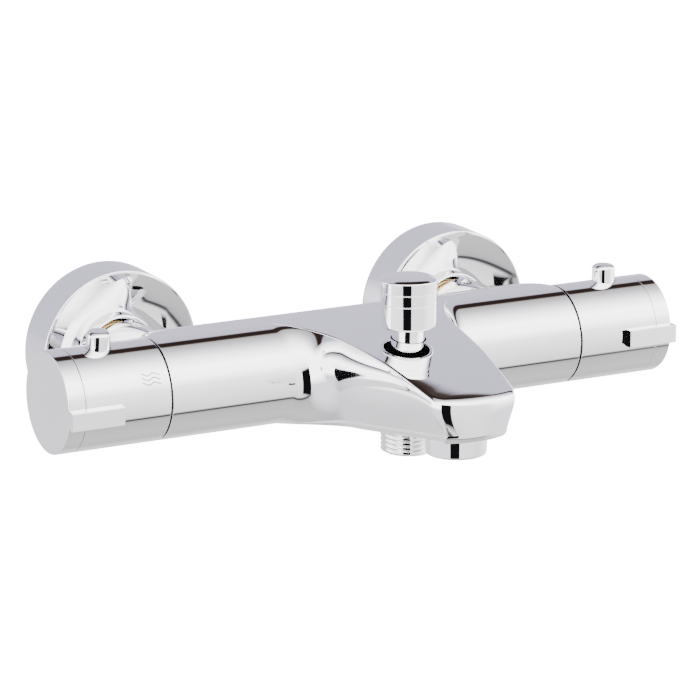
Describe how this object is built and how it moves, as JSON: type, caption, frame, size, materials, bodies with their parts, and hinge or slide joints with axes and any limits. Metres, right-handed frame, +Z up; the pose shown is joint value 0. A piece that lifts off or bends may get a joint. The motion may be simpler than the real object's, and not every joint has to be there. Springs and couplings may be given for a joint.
{
  "type": "wall mounted bath faucet",
  "caption": "Wall mounted thermostatic bath mixer: round bar with flow and temperature handles, flat topped spout, pull diverter and hose outlet.",
  "frame": {"origin": "point on the finished wall, midway between the two inlets, at the height of the bar's axis", "axes": "+X along the bar from the flow handle to the temperature handle, +Y into the wall, +Z up"},
  "size_m": [0.2636, 0.181, 0.0748],
  "materials": {
    "chrome": "bright chrome plate",
    "raw_brass": "machined, unplated",
    "black_rubber": "soft, matte",
    "white_plastic": "moulded acetal",
    "grey_plastic": "moulded, glass filled",
    "blue_plastic": "moulded",
    "white_ceramic": "lapped alumina ceramic",
    "steel": "stainless wire and sheet",
    "copper": "drawn copper"
  },
  "bodies": {
    "root": {"mixer_body": "chrome", "wall_flange_left": "chrome", "wall_flange_right": "chrome", "eccentric_union_left": "raw_brass", "eccentric_union_right": "raw_brass", "union_nut_left": "chrome", "union_nut_right": "chrome", "inlet_tail_left": "raw_brass", "inlet_tail_right": "raw_brass", "inlet_washers": "black_rubber", "inlet_filter_left": "steel", "inlet_filter_right": "steel", "check_valve_left": "blue_plastic", "check_valve_right": "blue_plastic", "check_springs": "steel", "flow_cartridge_body": "raw_brass", "flow_fixed_disc": "white_ceramic", "flow_seat_seal": "black_rubber", "flow_stop_ring": "white_plastic", "flow_o_rings": "black_rubber", "thermostat_housing": "grey_plastic", "thermostat_retaining_nut": "raw_brass", "temperature_stop_ring": "white_plastic", "thermostat_o_rings": "black_rubber", "diverter_bush": "raw_brass", "diverter_spring": "steel", "diverter_o_ring": "black_rubber", "hose_outlet": "chrome", "hose_outlet_o_ring": "black_rubber", "aerator_housing": "chrome", "aerator_insert": "white_plastic", "aerator_screen": "steel", "aerator_washer": "black_rubber"},
    "flow_control": {"flow_handle": "chrome", "flow_end_cap": "chrome", "flow_lever": "chrome", "flow_handle_hub": "grey_plastic", "flow_handle_screw": "steel", "flow_spindle": "raw_brass", "flow_moving_disc": "white_ceramic", "eco_button_spring": "steel"},
    "eco_button": {"eco_button": "chrome"},
    "temperature_control": {"temperature_handle": "chrome", "temperature_end_cap": "chrome", "temperature_lever": "chrome", "temperature_handle_hub": "grey_plastic", "temperature_handle_screw": "steel", "thermostat_spindle": "raw_brass", "safety_button_spring": "steel"},
    "safety_button": {"safety_button": "chrome"},
    "regulator": {"wax_element": "copper", "regulating_piston": "white_plastic", "piston_spring": "steel"},
    "diverter": {"diverter_knob": "chrome", "diverter_stem": "raw_brass", "diverter_valve_disc": "raw_brass", "diverter_washers": "black_rubber"},
    "hot_check_poppet": {"check_poppet_left": "white_plastic"},
    "cold_check_poppet": {"check_poppet_right": "white_plastic"}
  },
  "joints": [
    {"name": "flow_turn", "type": "hinge", "parent": "root", "child": "flow_control", "pos_m": [-0.1105, -0.073, 0], "axis": [1, 0, 0], "range_deg": [-90, 0]},
    {"name": "eco_press", "type": "slide", "parent": "flow_control", "child": "eco_button", "axis": [0, 0.1132, -0.9936], "range_m": [0, 0.0025], "stiffness_N_per_m": 500, "deforming": ["eco_button_spring"]},
    {"name": "temperature_turn", "type": "hinge", "parent": "root", "child": "temperature_control", "pos_m": [0.1105, -0.073, 0], "axis": [1, 0, 0], "range_deg": [-45, 150]},
    {"name": "safety_press", "type": "slide", "parent": "temperature_control", "child": "safety_button", "axis": [0, 0, -1], "range_m": [0, 0.0025], "stiffness_N_per_m": 500, "deforming": ["safety_button_spring"]},
    {"name": "regulator_slide", "type": "slide", "parent": "root", "child": "regulator", "axis": [1, 0, 0], "range_m": [-0.0003, 0.0007]},
    {"name": "diverter_lift", "type": "slide", "parent": "root", "child": "diverter", "axis": [0, 0, 1], "range_m": [0, 0.0068], "deforming": ["diverter_spring"]},
    {"name": "hot_check_open", "type": "slide", "parent": "root", "child": "hot_check_poppet", "axis": [0, -1, 0], "range_m": [0, 0.0015], "stiffness_N_per_m": 60},
    {"name": "cold_check_open", "type": "slide", "parent": "root", "child": "cold_check_poppet", "axis": [0, -1, 0], "range_m": [0, 0.0015], "stiffness_N_per_m": 60}
  ],
  "couplings": [
    {"joint": "regulator_slide", "follows": "temperature_turn", "m_per_rad": 0.00023873}
  ]
}
